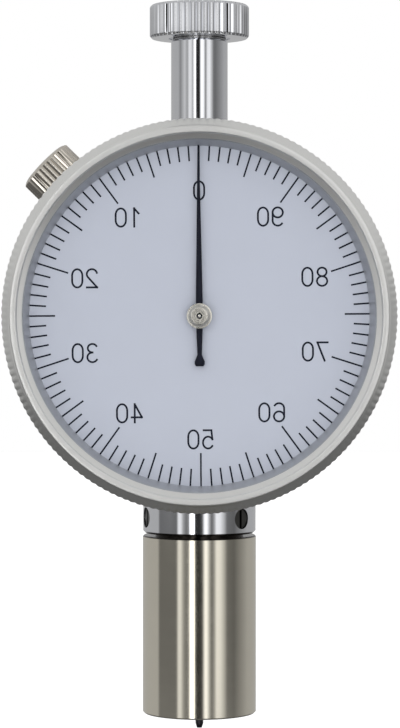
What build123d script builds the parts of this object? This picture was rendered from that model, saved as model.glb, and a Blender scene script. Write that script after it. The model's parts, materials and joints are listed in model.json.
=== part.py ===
"""Dial hardness tester for rubber: a spring-loaded indenter under a knurled, turning dial.

Millimetres, +Z up, the dial faces -Y, and the origin is the centre of the presser foot's lower face.
"Forward" is the distance in front of the stem's axis, towards the reader of the dial: forward = -Y.
Places on the dial are given by a radius and an angle, anticlockwise from the reader's right.
"""

import os
from math import atan2, ceil, cos, degrees, pi, radians, sin, sqrt, tan

from build123d import *

os.makedirs("parts", exist_ok=True)

# ---------------------------------------------------------------- driving dimensions
fit = 0.03  # radial clearance of a piece seated in another
running_fit = 0.06  # radial clearance of a shaft or pivot that turns or slides
air = 0.3  # gap between pieces that pass each other
edge = 0.3  # small chamfer on a turned edge
root = 2.0  # how far a boss starts inside a wall that is hollowed after it

travel = 2.5  # full stroke of the indenter

# presser foot, with the neck and thread above it
foot_d = 18.0
foot_h = 28.2
foot_edge = 0.8
foot_floor = 2.0
foot_hole_d = 3.0
foot_shoulder_w = 2.0
neck_step_w = 1.0
thread_wall = 1.25

# lock collar and its grub screws
collar_groove = 0.4
collar_inset = 0.05
collar_h = 4.8
collar_edge = 0.35
grub_d = 3.0
grub_first_angle = 48.6  # round the stem, from the front towards the right

# spindle, indenter and main spring
spindle_d = 4.0
indenter_d = 1.25
indenter_tip_d = 0.79
indenter_cone = 35.0  # included angle, degrees
indenter_seat = 3.0
bush_h = 3.8
seat_gap = 0.45
seat_h = 1.5
spring_wire = 0.9
spring_inset = 0.6
spring_turns = 7
spring_len = 17.0
adjuster_h = 3.5

# case
case_r = 28.0
case_wall = 1.5
cover_t = 1.5
case_depth_behind = 9.0
foot_boss_len = 1.6
boss_edge = 0.8
cover_edge = 0.4
lug_inset = 4.1
lug_d = 3.8
lug_angles = (30, 150, 210, 330)

# stem and top knob
stem_d = 9.0
stem_len = 16.9
stem_bore_d = 5.0
stem_spigot_d = 8.6
upper_boss_d = 13.0
upper_boss_h = 3.5
guide_bush_h = 4.0
knob_d = 15.8
knob_h = 5.3
knob_edge = 0.35
knob_ridge_count = 48
knob_ridge_depth = 0.28
stud_d = 4.8
stud_len = 7.6
washer_d = 8.4
washer_h = 0.5

# movement: plates, pillars and train
plate_gap = 1.2
plate_t = 1.0
plate_gap_round = 0.8
pillar_inset = 4.6
pillar_d = 3.0
pillar_angles = (0, 120, 240)
module = 0.2
wheel_teeth = 80
centre_teeth = 20
rack_teeth_per_turn = 16
wheel_t = 0.6
wheel_gap = 0.5
rim_width = 1.2
wheel_hub_d = 4.6
arm_width = 1.0
arm_count = 4
hair_angle = 170.0  # where the hairspring's arbor lies, seen from the dial's centre
arbor_d = 1.6
pivot_d = 0.7
bearing_d = 2.4
hair_strip = 0.7
hair_thick = 0.12
hair_inner_r = 1.5
hair_outer_r = 5.6
hair_turns = 5
rack_width = 2.4

# guide pin and fork, which keep the spindle from turning
guide_above_centre = 9.0
pin_d = 1.2
pin_len = 3.2
fork_w = 3.5
fork_gap = 0.5
fork_depth = 1.1
fork_end = 1.4
fork_slot_end = 0.4
fork_screw_inset = 1.2

# screws
screw_d = 1.6
screw_head_d = 2.8
small_head_d = 2.4
slot_share = 0.15  # width of a screw's slot as a share of its head
screw_head_h = 0.7
cover_screw_d = 2.0
cover_screw_head_d = 3.8
cover_screw_len = 6.0
low_head_h = 0.4
plate_screw_grip = 4.0
pillar_screw_grip = 2.2
fork_screw_grip = 1.6
cock_screw_grip = 1.8

# rear cock, which stands on two posts behind the main plate
cock_t = 0.8
post_d = 2.4
post_out = 6.0
post_apart = 6.4

# dial, pointer and glass
dial_t = 0.6
dial_hole_d = 2.0
pointer_t = 0.2
pointer_clearance = 0.15
pointer_tail = 7.8
pointer_hub_w = 1.1
pointer_tip_w = 0.3
pointer_tail_w = 0.75
counterweight_w = 1.6
counterweight_len = 1.7
hub_flange_h = 0.4
hub_flange_d = 3.2
hub_cap_h = 0.3
hub_cap_d = 3.95
hub_boss_h = 0.3
hub_boss_d = 2.5
centre_pin_d = 0.95
hub_neck_d = 1.8
glass_t = 1.0
glass_ledge = 0.45
spacer_step = 0.05
spacer_taper = 0.65

# bezel
bezel_overhang = 2.65
knurl_count = 170
knurl_depth = 0.3
shoulder_w = 1.25
bead_w = 1.2
slope_w = 0.85
bezel_lip_t = 0.9
bead_h = 0.3
bead_step = 0.1
shoulder_drop = 0.45
carrier_t = 0.8
sleeve_t = 0.8
ring_w = 0.4
ring_groove_depth = 0.3
ring_mouth = 6.0

# bezel clamp
clamp_angle = 135.6
clamp_knob_d = 9.2
clamp_knob_len = 4.55
clamp_dome = 0.65
clamp_ridge_count = 32
clamp_ridge_depth = 0.22
clamp_boss_d = 8.0
clamp_boss_h = 1.0
clamp_screw_d = 3.0
clamp_rise = 0.5  # how far one turn lifts the shoe
shoe_d = 3.0
shoe_t = 0.6
shoe_gap = 0.15

# ---------------------------------------------------------------- worked-out radii about the dial's axis
case_bore_r = case_r - case_wall
lug_r = case_bore_r - lug_inset
sleeve_outer_r = case_bore_r - air
sleeve_inner_r = sleeve_outer_r - sleeve_t
plate_r = sleeve_inner_r - plate_gap_round
pillar_r = plate_r - pillar_inset
bezel_crest_r = case_r + bezel_overhang
bead_outer_r = bezel_crest_r - shoulder_w
bead_inner_r = bead_outer_r - bead_w
bezel_lip_r = bead_inner_r - slope_w
glass_r = bezel_lip_r + glass_ledge
pocket_r = glass_r + fit
spacer_front_r = bezel_lip_r - spacer_step
spacer_rear_r = spacer_front_r - spacer_taper
pointer_len = spacer_rear_r - pointer_clearance

# ---------------------------------------------------------------- worked-out diameters about the stem's axis
collar_d = foot_d - 2 * collar_inset
neck_d = foot_d - 2 * foot_shoulder_w
thread_d = neck_d - 2 * neck_step_w
chamber_d = thread_d - 2 * thread_wall
seat_d = chamber_d - 2 * seat_gap
spring_mean_d = seat_d - 2 * spring_inset

# ---------------------------------------------------------------- worked-out heights
neck_top = foot_h + collar_groove + collar_h - 0.5
collar_bottom = foot_h + collar_groove
boss_bottom = collar_bottom + collar_h
dial_z = boss_bottom + foot_boss_len + case_r
case_floor = dial_z - case_bore_r
case_ceiling = dial_z + case_bore_r
thread_top = case_floor - 0.1
spindle_bottom = foot_floor + air
bush_top = foot_floor + bush_h
seat_bottom = bush_top + 0.2
spring_bottom = seat_bottom + seat_h
spring_top = spring_bottom + spring_len
stem_bottom = case_ceiling + 0.5
stem_top = stem_bottom + stem_len
upper_boss_top = stem_bottom + upper_boss_h
spindle_top = stem_bottom + guide_bush_h + 1.0
washer_bottom = stem_top + 0.05
knob_bottom = stem_top + air
stud_bottom = stem_top - stud_len

# ---------------------------------------------------------------- worked-out forward places
main_plate_rear = spindle_d / 2 + plate_gap
main_plate_front = main_plate_rear + plate_t
main_wheel_rear = main_plate_front + wheel_gap
main_wheel_front = main_wheel_rear + wheel_t
hair_wheel_rear = main_wheel_front + wheel_gap
hair_wheel_front = hair_wheel_rear + wheel_t
hair_rear = hair_wheel_front + 0.4
hair_front = hair_rear + hair_strip
front_plate_rear = hair_front + wheel_gap
front_plate_front = front_plate_rear + plate_t
cock_rear = -main_plate_rear
cock_front = cock_rear + cock_t

case_rear = -case_depth_behind
cover_rear = case_rear - cover_t
case_front = front_plate_front + 0.1
bezel_rear = case_front + 0.4
carrier_front = bezel_rear + carrier_t
dial_front = carrier_front + dial_t
hub_rear = dial_front + 0.2
pointer_rear = hub_rear + hub_flange_h
pointer_front = pointer_rear + pointer_t
hub_cap_front = pointer_front + hub_cap_h
hub_front = hub_cap_front + hub_boss_h
glass_rear = hub_front + air
glass_front = glass_rear + glass_t
bezel_front = glass_front + bezel_lip_t
bead_f = bezel_front - bead_h
shoulder_f = bead_f - shoulder_drop
rim_front = shoulder_f - (shoulder_w - bead_step)

web_front = spindle_d / 2
sleeve_rear = web_front + 2 * air

clamp_forward = bezel_rear - clamp_knob_d / 2 - air
shoe_inner = sleeve_outer_r + shoe_gap
shoe_outer = shoe_inner + shoe_t
shoe_pocket_r = shoe_d / 2 + 0.2
shoe_pocket_top = shoe_outer + clamp_rise + 0.1
clamp_boss_top = case_r + clamp_boss_h
clamp_knob_inner = clamp_boss_top + air
clamp_knob_corner = clamp_knob_inner + clamp_knob_len
ring_rear = clamp_forward + shoe_pocket_r + air

# ---------------------------------------------------------------- gear train, in the dial's plane
wheel_r = module * wheel_teeth / 2
centre_r = module * centre_teeth / 2
turn_of_main_wheel = centre_teeth / wheel_teeth
rack_pinion_r = travel / (2 * pi * turn_of_main_wheel)
rack_pitch = 2 * pi * rack_pinion_r / rack_teeth_per_turn
rack_module = rack_pitch / pi
rack_line = spindle_d / 2 - 0.5
rack_arbor_x = rack_line + rack_pinion_r
rack_arbor_y = -sqrt((wheel_r + centre_r) ** 2 - rack_arbor_x**2)
rack_arbor = (rack_arbor_x, rack_arbor_y)
rack_arbor_angle = degrees(atan2(rack_arbor_y, rack_arbor_x))
hair_arbor = (
    (wheel_r + centre_r) * cos(radians(hair_angle)),
    (wheel_r + centre_r) * sin(radians(hair_angle)),
)
centre = (0, 0)


# ---------------------------------------------------------------- planes and shared shapes
def facing(forward):
    """Plane across the dial's axis, this far forward, seen from the front."""
    return Plane(origin=(0, -forward, dial_z), x_dir=(1, 0, 0), z_dir=(0, -1, 0))


def backing(forward):
    """Plane across the dial's axis, this far forward, seen from behind."""
    return Plane(origin=(0, -forward, dial_z), x_dir=(-1, 0, 0), z_dir=(0, 1, 0))


def level(height):
    """Horizontal plane at this height."""
    return Plane.XY.offset(height)


def outward(angle, forward, distance):
    """Plane that faces away from the dial's axis, this far out along this angle."""
    out = Vector(cos(radians(angle)), 0, sin(radians(angle)))
    origin = Vector(0, -forward, dial_z) + out * distance
    return Plane(origin=origin, x_dir=(0, 1, 0), z_dir=out)


def polar(radius, angle):
    """Point in the dial's plane."""
    return (radius * cos(radians(angle)), radius * sin(radians(angle)))


# Sections of round pieces: (radius, forward) about the dial's axis, (radius, height) about the stem's.
dial_section = Plane(origin=(0, 0, dial_z), x_dir=(0, 0, 1), z_dir=(1, 0, 0))
dial_axis = Axis((0, 0, dial_z), (0, -1, 0))
stem_section = Plane.XZ


def arbor_section(spot):
    """Section plane, in (radius, forward), of a piece that is round about this spot."""
    return Plane(origin=(spot[0], 0, dial_z + spot[1]), x_dir=(0, 0, 1), z_dir=(1, 0, 0))


def arbor_axis(spot):
    """Axis through this spot, pointing forward."""
    return Axis((spot[0], 0, dial_z + spot[1]), (0, -1, 0))


def steps(*spans):
    """Outline of a stepped shaft from (radius, start, end) spans in order."""
    outline = [(0, spans[0][1])]
    for radius, start, end in spans:
        outline += [(radius, start), (radius, end)]
    return outline + [(0, spans[-1][2])]


def tooth_points(teeth, tooth_module, phase):
    """Corners of a spur gear with slim teeth, one of them centred on the phase angle."""
    pitch = 360 / teeth
    pitch_r = teeth * tooth_module / 2
    tip = pitch_r + tooth_module
    root = pitch_r - 1.2 * tooth_module
    shape = ((root, -0.31), (pitch_r, -0.2), (tip, -0.08), (tip, 0.08), (pitch_r, 0.2), (root, 0.31))
    return [polar(r, phase + (i + share) * pitch) for i in range(teeth) for r, share in shape]


def meshing_phase(angle, phase, teeth, other_teeth):
    """Phase of a wheel of other_teeth that stands at this angle from a gear of this phase."""
    part_of_pitch = ((angle - phase) * teeth / 360) % 1
    return angle + 180 + (part_of_pitch - 0.5) * 360 / other_teeth


def ridge_points(radius, depth, count):
    """Corners of a straight knurl with V ridges."""
    return [polar(radius - depth * (i % 2), i * 180 / count) for i in range(2 * count)]


def screws(plane, spots, head_h, shank_len, head_d=screw_head_d):
    """Slotted cheese-head screws whose heads stand on the plane."""
    with BuildPart() as group:
        with BuildSketch(plane):
            with Locations(*spots):
                Circle(head_d / 2)
        extrude(amount=head_h)
        with BuildSketch(plane):
            with Locations(*spots):
                Circle(screw_d / 2)
        extrude(amount=-shank_len)
        with BuildSketch(plane.offset(head_h)):
            with Locations(*spots):
                Rectangle(1.5 * head_d, slot_share * head_d)
        extrude(amount=-head_h / 2, mode=Mode.SUBTRACT)
    return group


def wheel(spot, rear, phase):
    """Crossed-out brass wheel with its teeth at this phase."""
    teeth_place = facing(rear) * Location((*spot, 0))
    rim_inner_r = wheel_r - 1.2 * module - rim_width
    with BuildPart() as piece:
        with BuildSketch(Plane(teeth_place)):
            with BuildLine():
                Polyline(*tooth_points(wheel_teeth, module, phase), close=True)
            make_face()
            Circle(rim_inner_r, mode=Mode.SUBTRACT)
            Circle(wheel_hub_d / 2)
            with PolarLocations(0, arm_count):
                Rectangle(rim_inner_r + rim_width / 2, arm_width, align=(Align.MIN, Align.CENTER))
            Circle(arbor_d / 2 + fit, mode=Mode.SUBTRACT)
        extrude(amount=wheel_t)
    return piece


# ================================================================ case
with BuildPart() as case:
    with BuildSketch(facing(case_rear)):
        Circle(case_r)
    extrude(amount=case_front - case_rear)
    with BuildSketch(level(boss_bottom)):
        Circle(foot_d / 2)
    extrude(amount=case_floor + root - boss_bottom)
    with BuildSketch(level(case_ceiling - root)):
        Circle(upper_boss_d / 2)
    extrude(amount=upper_boss_top - case_ceiling + root)
    chamfer(case.edges().group_by(Axis.Z)[-1], length=boss_edge)
    with BuildSketch(outward(clamp_angle, clamp_forward, case_bore_r - root)):
        Circle(clamp_boss_d / 2)
    extrude(amount=clamp_boss_top - case_bore_r + root)
    # the hollow for the movement
    with BuildSketch(facing(case_rear)):
        Circle(case_bore_r)
    extrude(amount=case_front - case_rear, mode=Mode.SUBTRACT)
    # four lugs: webs low enough for the bezel's sleeve, bosses up to the main plate
    lug_places = [Location((*polar(lug_r, angle), 0), (0, 0, angle)) for angle in lug_angles]
    with BuildSketch(facing(case_rear)):
        with Locations(*lug_places):
            Rectangle(case_bore_r + case_wall / 2 - lug_r, lug_d, align=(Align.MIN, Align.CENTER))
    extrude(amount=web_front - case_rear)
    with BuildSketch(facing(case_rear)):
        with Locations(*lug_places):
            Circle(lug_d / 2)
    extrude(amount=main_plate_rear - case_rear)
    # screw holes in both ends of the lugs
    with BuildSketch(facing(main_plate_rear)):
        with Locations(*lug_places):
            Circle(screw_d / 2 + fit)
    extrude(amount=-plate_screw_grip - air, mode=Mode.SUBTRACT)
    with BuildSketch(facing(case_rear)):
        with Locations(*lug_places):
            Circle(cover_screw_d / 2 + fit)
    extrude(amount=cover_screw_len - cover_t + air, mode=Mode.SUBTRACT)
    # bores for the foot's thread and for the stem
    with BuildSketch(level(boss_bottom)):
        Circle(thread_d / 2 + fit)
    extrude(amount=case_floor + root - boss_bottom, mode=Mode.SUBTRACT)
    with BuildSketch(level(stem_bottom)):
        Circle(stem_spigot_d / 2 + fit)
    extrude(amount=upper_boss_top - stem_bottom, mode=Mode.SUBTRACT)
    with BuildSketch(level(case_ceiling - root)):
        Circle(stem_bore_d / 2)
    extrude(amount=stem_bottom - case_ceiling + root, mode=Mode.SUBTRACT)
    # the clamp's threaded hole, and the pocket that its shoe slides in
    with BuildSketch(outward(clamp_angle, clamp_forward, case_bore_r - root)):
        Circle(clamp_screw_d / 2 + running_fit)
    extrude(amount=clamp_boss_top - case_bore_r + root, mode=Mode.SUBTRACT)
    with BuildSketch(outward(clamp_angle, clamp_forward, case_bore_r - root)):
        Circle(shoe_pocket_r)
    extrude(amount=shoe_pocket_top - case_bore_r + root, mode=Mode.SUBTRACT)
    # the groove of the wire ring that keeps the bezel in
    with BuildSketch(dial_section):
        with Locations((case_bore_r - 0.5, ring_rear - 0.1)):
            Rectangle(0.5 + ring_groove_depth, ring_w + 0.2, align=(Align.MIN, Align.MIN))
    revolve(axis=dial_axis, mode=Mode.SUBTRACT)

# ================================================================ back cover
with BuildPart() as back_cover:
    with BuildSketch(facing(cover_rear)):
        Circle(case_r)
    extrude(amount=cover_t)
    chamfer(back_cover.edges().group_by(Axis.Y)[-1], length=cover_edge)
    back_spots = [(-x, y) for x, y in (polar(lug_r, angle) for angle in lug_angles)]
    with BuildSketch(backing(cover_rear)):
        with Locations(*back_spots):
            Circle(cover_screw_d / 2 + 0.1)
    extrude(amount=-cover_t, mode=Mode.SUBTRACT)
    with Locations(*[backing(cover_rear) * Location((x, y, 0)) for x, y in back_spots]):
        Cone(
            bottom_radius=cover_screw_d / 2,
            top_radius=cover_screw_head_d / 2 + fit,
            height=(cover_screw_head_d - cover_screw_d) / 2 + fit,
            align=(Align.CENTER, Align.CENTER, Align.MAX),
            mode=Mode.SUBTRACT,
        )

with BuildPart() as back_cover_screws:
    with Locations(*[backing(cover_rear) * Location((x, y, -0.05)) for x, y in back_spots]):
        Cone(
            bottom_radius=cover_screw_d / 2 - 0.1,
            top_radius=cover_screw_head_d / 2 - 0.1,
            height=(cover_screw_head_d - cover_screw_d) / 2,
            align=(Align.CENTER, Align.CENTER, Align.MAX),
        )
    with BuildSketch(backing(cover_rear).offset(-0.5)):
        with Locations(*back_spots):
            Circle(cover_screw_d / 2 - 0.05)
    extrude(amount=0.5 - cover_screw_len)
    with BuildSketch(backing(cover_rear)):
        with Locations(*back_spots):
            Rectangle(0.5, cover_screw_head_d + 1)
    extrude(amount=-0.5, mode=Mode.SUBTRACT)

# ================================================================ stem and its guide bush
with BuildPart() as stem:
    with BuildSketch(stem_section):
        with BuildLine():
            Polyline(
                (stem_bore_d / 2, stem_bottom),
                (stem_spigot_d / 2, stem_bottom),
                (stem_spigot_d / 2, upper_boss_top),
                (stem_d / 2, upper_boss_top),
                (stem_d / 2, stem_top - edge),
                (stem_d / 2 - edge, stem_top),
                (stem_bore_d / 2, stem_top),
                close=True,
            )
        make_face()
    revolve(axis=Axis.Z)

with BuildPart() as upper_bush:
    with BuildSketch(level(stem_bottom)):
        Circle(stem_bore_d / 2 - fit)
        Circle(spindle_d / 2 + running_fit, mode=Mode.SUBTRACT)
    extrude(amount=guide_bush_h)

# ================================================================ top knob: washer, stud and cap
with BuildPart() as knob_washer:
    with BuildSketch(level(washer_bottom)):
        Circle(washer_d / 2)
        Circle(stud_d / 2 + running_fit, mode=Mode.SUBTRACT)
    extrude(amount=washer_h)

with BuildPart() as top_knob:
    with BuildSketch(level(knob_bottom)):
        with BuildLine():
            Polyline(*ridge_points(knob_d / 2, knob_ridge_depth, knob_ridge_count), close=True)
        make_face()
    extrude(amount=knob_h)
    with BuildSketch(stem_section):
        with BuildLine():
            Polyline(
                (0, knob_bottom),
                (knob_d / 2 - knob_edge, knob_bottom),
                (knob_d / 2, knob_bottom + knob_edge),
                (knob_d / 2, knob_bottom + knob_h - knob_edge),
                (knob_d / 2 - knob_edge, knob_bottom + knob_h),
                (0, knob_bottom + knob_h),
                close=True,
            )
        make_face()
    revolve(axis=Axis.Z, mode=Mode.INTERSECT)
    # recess for the washer, and the blind hole of the stud
    with BuildSketch(level(knob_bottom)):
        Circle(washer_d / 2 + running_fit)
    extrude(amount=washer_bottom + washer_h + 0.05 - knob_bottom, mode=Mode.SUBTRACT)
    with BuildSketch(level(knob_bottom)):
        Circle(stud_d / 2 + fit)
    extrude(amount=knob_h / 2, mode=Mode.SUBTRACT)

with BuildPart() as knob_stud:
    with BuildSketch(stem_section):
        with BuildLine():
            Polyline(
                (0, stud_bottom),
                (stud_d / 2 - 0.5, stud_bottom),
                (stud_d / 2, stud_bottom + 0.5),
                (stud_d / 2, knob_bottom + knob_h / 2),
                (0, knob_bottom + knob_h / 2),
                close=True,
            )
        make_face()
    revolve(axis=Axis.Z)

# ================================================================ presser foot, bushes and adjuster
with BuildPart() as foot:
    with BuildSketch(stem_section):
        with BuildLine():
            Polyline(
                (foot_hole_d / 2, 0),
                (foot_d / 2 - foot_edge, 0),
                (foot_d / 2, foot_edge),
                (foot_d / 2, foot_h - 0.2),
                (foot_d / 2 - 0.2, foot_h),
                (neck_d / 2, foot_h),
                (neck_d / 2, neck_top),
                (thread_d / 2, neck_top),
                (thread_d / 2, thread_top),
                (chamber_d / 2, thread_top),
                (chamber_d / 2, foot_floor),
                (foot_hole_d / 2, foot_floor),
                close=True,
            )
        make_face()
    revolve(axis=Axis.Z)

with BuildPart() as nose_bush:
    with BuildSketch(level(foot_floor)):
        Circle(chamber_d / 2 - fit)
        Circle(spindle_d / 2 + running_fit, mode=Mode.SUBTRACT)
    extrude(amount=bush_h)

with BuildPart() as spring_adjuster:
    with BuildSketch(level(spring_top)):
        Circle(chamber_d / 2 - fit)
        Circle(spindle_d / 2 + air, mode=Mode.SUBTRACT)
    extrude(amount=adjuster_h)
    with BuildSketch(level(spring_top + adjuster_h)):
        Rectangle(chamber_d + 1, 1.2)
    extrude(amount=-1.0, mode=Mode.SUBTRACT)

# ================================================================ lock collar
grub_z = collar_bottom + collar_h * 0.53
grub_planes = [
    Plane(
        origin=(0, 0, grub_z),
        x_dir=(0, 0, 1),
        z_dir=(sin(radians(angle)), -cos(radians(angle)), 0),
    )
    for angle in (grub_first_angle, grub_first_angle - 120, grub_first_angle + 120)
]

with BuildPart() as collar:
    with BuildSketch(stem_section):
        with BuildLine():
            Polyline(
                (neck_d / 2 + fit, collar_bottom),
                (collar_d / 2 - collar_edge, collar_bottom),
                (collar_d / 2, collar_bottom + collar_edge),
                (collar_d / 2, boss_bottom - collar_edge),
                (collar_d / 2 - collar_edge, boss_bottom),
                (neck_d / 2 + fit, boss_bottom),
                close=True,
            )
        make_face()
    revolve(axis=Axis.Z)
    for plane in grub_planes:
        with BuildSketch(plane):
            Circle(grub_d / 2 + 0.1)
        extrude(amount=collar_d, mode=Mode.SUBTRACT)

with BuildPart() as collar_screws:
    for plane in grub_planes:
        with BuildSketch(plane.offset(neck_d / 2 + fit)):
            Circle(grub_d / 2)
        extrude(amount=(collar_d - neck_d) / 2 - 0.35)
        with BuildSketch(plane.offset(collar_d / 2)):
            Rectangle(grub_d + 1, 0.5)
        extrude(amount=-0.9, mode=Mode.SUBTRACT)

# ================================================================ spindle with its rack, indenter, spring
# The rack reaches past the pinion at both ends of the stroke, and a gap faces the pinion at rest.
rack_pinion_z = dial_z + rack_arbor_y
gaps_above = ceil((rack_pinion_r + rack_module) / rack_pitch)
gaps_below = gaps_above + ceil(travel / rack_pitch)
rack_gaps = [rack_pinion_z + i * rack_pitch for i in range(-gaps_below, gaps_above + 1)]
rack_start = rack_gaps[0] - rack_pitch / 2
rack_end = rack_gaps[-1] + rack_pitch / 2
guide_z = dial_z + guide_above_centre
pin_depth = 0.45 * spindle_d / 2
pin_seat = Plane(origin=(pin_depth - spindle_d / 2, 0, guide_z), x_dir=(0, 1, 0), z_dir=(-1, 0, 0))

with BuildPart() as spindle:
    with BuildSketch(level(spindle_bottom)):
        Circle(spindle_d / 2)
    extrude(amount=spindle_top - spindle_bottom)
    chamfer(spindle.edges().group_by(Axis.Z)[-1], length=edge)
    # rack: teeth left standing between the gaps, on the side of the rack arbor
    with BuildSketch(stem_section):
        with BuildLine():
            outline = [(spindle_d, rack_start)]
            outline += [(rack_line + rack_module, rack_start)]
            for gap in rack_gaps:
                outline += [
                    (rack_line + rack_module, gap - 0.42 * rack_pitch),
                    (rack_line - 1.2 * rack_module, gap - 0.17 * rack_pitch),
                    (rack_line - 1.2 * rack_module, gap + 0.17 * rack_pitch),
                    (rack_line + rack_module, gap + 0.42 * rack_pitch),
                ]
            outline += [(rack_line + rack_module, rack_end), (spindle_d, rack_end)]
            Polyline(*outline, close=True)
        make_face()
    extrude(amount=spindle_d, both=True, mode=Mode.SUBTRACT)
    # bore for the indenter, and blind cross hole for the guide pin
    with BuildSketch(level(spindle_bottom)):
        Circle(indenter_d / 2 + fit)
    extrude(amount=indenter_seat, mode=Mode.SUBTRACT)
    with BuildSketch(pin_seat):
        Circle(pin_d / 2 + fit)
    extrude(amount=pin_depth + 1, mode=Mode.SUBTRACT)

cone_len = (indenter_d - indenter_tip_d) / 2 / tan(radians(indenter_cone / 2))
with BuildPart() as indenter:
    with BuildSketch(stem_section):
        with BuildLine():
            Polyline(
                (0, -travel),
                (indenter_tip_d / 2, -travel),
                (indenter_d / 2, -travel + cone_len),
                (indenter_d / 2, spindle_bottom + indenter_seat),
                (0, spindle_bottom + indenter_seat),
                close=True,
            )
        make_face()
    revolve(axis=Axis.Z)

with BuildPart() as spring_seat:
    with BuildSketch(level(seat_bottom)):
        Circle(seat_d / 2)
        Circle(spindle_d / 2 + fit, mode=Mode.SUBTRACT)
    extrude(amount=seat_h)

with BuildPart() as main_spring:
    with BuildLine(level(spring_bottom + spring_wire / 2)) as coil:
        Helix(
            pitch=(spring_len - spring_wire) / spring_turns,
            height=spring_len - spring_wire,
            radius=spring_mean_d / 2,
        )
    with BuildSketch(Plane(origin=coil.line @ 0, z_dir=coil.line % 0)):
        Circle(spring_wire / 2 - 0.03)
    sweep(path=coil.line, is_frenet=True)

# ================================================================ guide pin and fork, against turning
with BuildPart() as guide_pin:
    with BuildSketch(pin_seat):
        Circle(pin_d / 2)
    extrude(amount=pin_depth + pin_len)

fork_inner = spindle_d / 2 + fork_gap
fork_low = guide_z - pin_d / 2 - fork_end
fork_high = guide_z + travel + pin_d / 2 + fork_end
fork_slot_w = pin_d + 2 * running_fit
fork_rear = -pin_d / 2 - fork_depth
with BuildPart() as guide_fork:
    with BuildSketch(facing(fork_rear)):
        with Locations((-fork_inner, fork_low - dial_z)):
            Rectangle(fork_w, fork_high - fork_low, align=(Align.MAX, Align.MIN))
    extrude(amount=main_plate_rear - fork_rear)
    with BuildSketch(Plane.YZ.offset(-fork_inner)):
        with Locations((0, guide_z + travel / 2)):
            SlotOverall(travel + fork_slot_w + 2 * fork_slot_end, fork_slot_w, rotation=90)
    extrude(amount=-fork_w, mode=Mode.SUBTRACT)
    fork_screw_spots = [
        (-fork_inner - fork_w / 2, fork_low - dial_z + fork_screw_inset),
        (-fork_inner - fork_w / 2, fork_high - dial_z - fork_screw_inset),
    ]
    with BuildSketch(facing(main_plate_rear)):
        with Locations(*fork_screw_spots):
            Circle(screw_d / 2 + fit)
    extrude(amount=-fork_screw_grip - air, mode=Mode.SUBTRACT)

guide_fork_screws = screws(
    facing(main_plate_front), fork_screw_spots, low_head_h, plate_t + fork_screw_grip, small_head_d
)

# ================================================================ plates, pillars and cock
lug_spots = [polar(lug_r, angle) for angle in lug_angles]
pillar_spots = [polar(pillar_r, angle) for angle in pillar_angles]
post_spots = [(rack_arbor_x + post_out, rack_arbor_y + side * post_apart / 2) for side in (1, -1)]
bush_seat_r = bearing_d / 2 + fit

with BuildPart() as main_plate:
    with BuildSketch(facing(main_plate_rear)):
        Circle(plate_r)
        with Locations(*lug_spots, *pillar_spots, *fork_screw_spots, *post_spots):
            Circle(screw_d / 2 + fit, mode=Mode.SUBTRACT)
        with Locations(centre, hair_arbor):
            Circle(bush_seat_r, mode=Mode.SUBTRACT)
        with Locations(rack_arbor):
            Circle(arbor_d / 2 + air, mode=Mode.SUBTRACT)
    extrude(amount=plate_t)

main_plate_screws = screws(
    facing(main_plate_front), lug_spots, screw_head_h, plate_t + plate_screw_grip
)

with BuildPart() as plate_pillars:
    with BuildSketch(facing(main_plate_front)):
        with Locations(*pillar_spots):
            Circle(pillar_d / 2)
    extrude(amount=front_plate_rear - main_plate_front)
    with BuildSketch(facing(main_plate_rear)):
        with Locations(*pillar_spots):
            Circle(screw_d / 2)
    extrude(amount=plate_t)
    with BuildSketch(facing(front_plate_rear)):
        with Locations(*pillar_spots):
            Circle(screw_d / 2 + fit)
    extrude(amount=-pillar_screw_grip - air, mode=Mode.SUBTRACT)

with BuildPart() as front_plate:
    with BuildSketch(facing(front_plate_rear)):
        with Locations(*pillar_spots):
            Circle(pillar_d)
        make_hull()
        with Locations(*pillar_spots):
            Circle(screw_d / 2 + fit, mode=Mode.SUBTRACT)
        with Locations(centre, hair_arbor, rack_arbor):
            Circle(bush_seat_r, mode=Mode.SUBTRACT)
    extrude(amount=plate_t)

front_plate_screws = screws(
    facing(front_plate_front), pillar_spots, screw_head_h, plate_t + pillar_screw_grip
)

with BuildPart() as rear_cock:
    with BuildSketch(facing(cock_rear)):
        with Locations(rack_arbor):
            Circle(bearing_d / 2 + 0.5)
        with Locations(*post_spots):
            Circle(post_d / 2 + 0.3)
        make_hull()
        with Locations(*post_spots):
            Circle(screw_d / 2 + fit, mode=Mode.SUBTRACT)
        with Locations(rack_arbor):
            Circle(bush_seat_r, mode=Mode.SUBTRACT)
    extrude(amount=cock_front - cock_rear)

with BuildPart() as cock_posts:
    with BuildSketch(facing(cock_front)):
        with Locations(*post_spots):
            Circle(post_d / 2)
    extrude(amount=main_plate_rear - cock_front)
    with BuildSketch(facing(main_plate_rear)):
        with Locations(*post_spots):
            Circle(screw_d / 2)
    extrude(amount=plate_t)
    with BuildSketch(facing(cock_front)):
        with Locations(*post_spots):
            Circle(screw_d / 2 + fit)
    extrude(amount=cock_screw_grip + air, mode=Mode.SUBTRACT)

cock_screw_spots = [(-x, y) for x, y in post_spots]
cock_screws = screws(
    backing(cock_rear), cock_screw_spots, screw_head_h, cock_t + cock_screw_grip, small_head_d
)

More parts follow.
